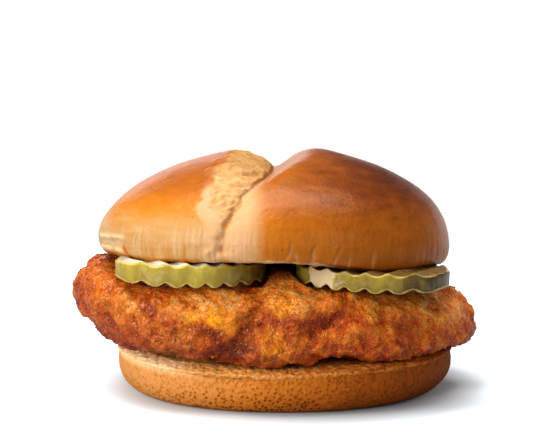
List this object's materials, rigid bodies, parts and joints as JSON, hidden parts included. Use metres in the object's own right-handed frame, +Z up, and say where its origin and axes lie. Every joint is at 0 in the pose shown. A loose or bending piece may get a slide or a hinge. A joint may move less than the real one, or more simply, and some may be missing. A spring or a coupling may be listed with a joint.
{
  "type": "chicken burger",
  "caption": "Fried chicken burger: a torn round bun crown over crinkle-cut pickle slices and a craggy battered fillet on a toasted heel.",
  "frame": {"origin": "centre of the footprint's box, on the surface that the burger stands on", "axes": "+X to the right along the fillet's length, +Y away from the front with the tear, +Z up"},
  "size_m": [0.1212, 0.105, 0.0719],
  "materials": {
    "crown_crust": "egg-washed bread crust, satin, pale and fibrous where it is torn",
    "heel_crust": "finely pitted matt bread crust with a toasted cut face",
    "fried_batter": "craggy fried batter, oily and sparkling, golden to red-brown",
    "pickle": "wet green-yellow cucumber skin and paler flesh"
  },
  "bodies": {
    "root": {"crown": "crown_crust", "pickle_left": "pickle", "pickle_right": "pickle", "fillet": "fried_batter", "heel": "heel_crust"}
  },
  "joints": []
}
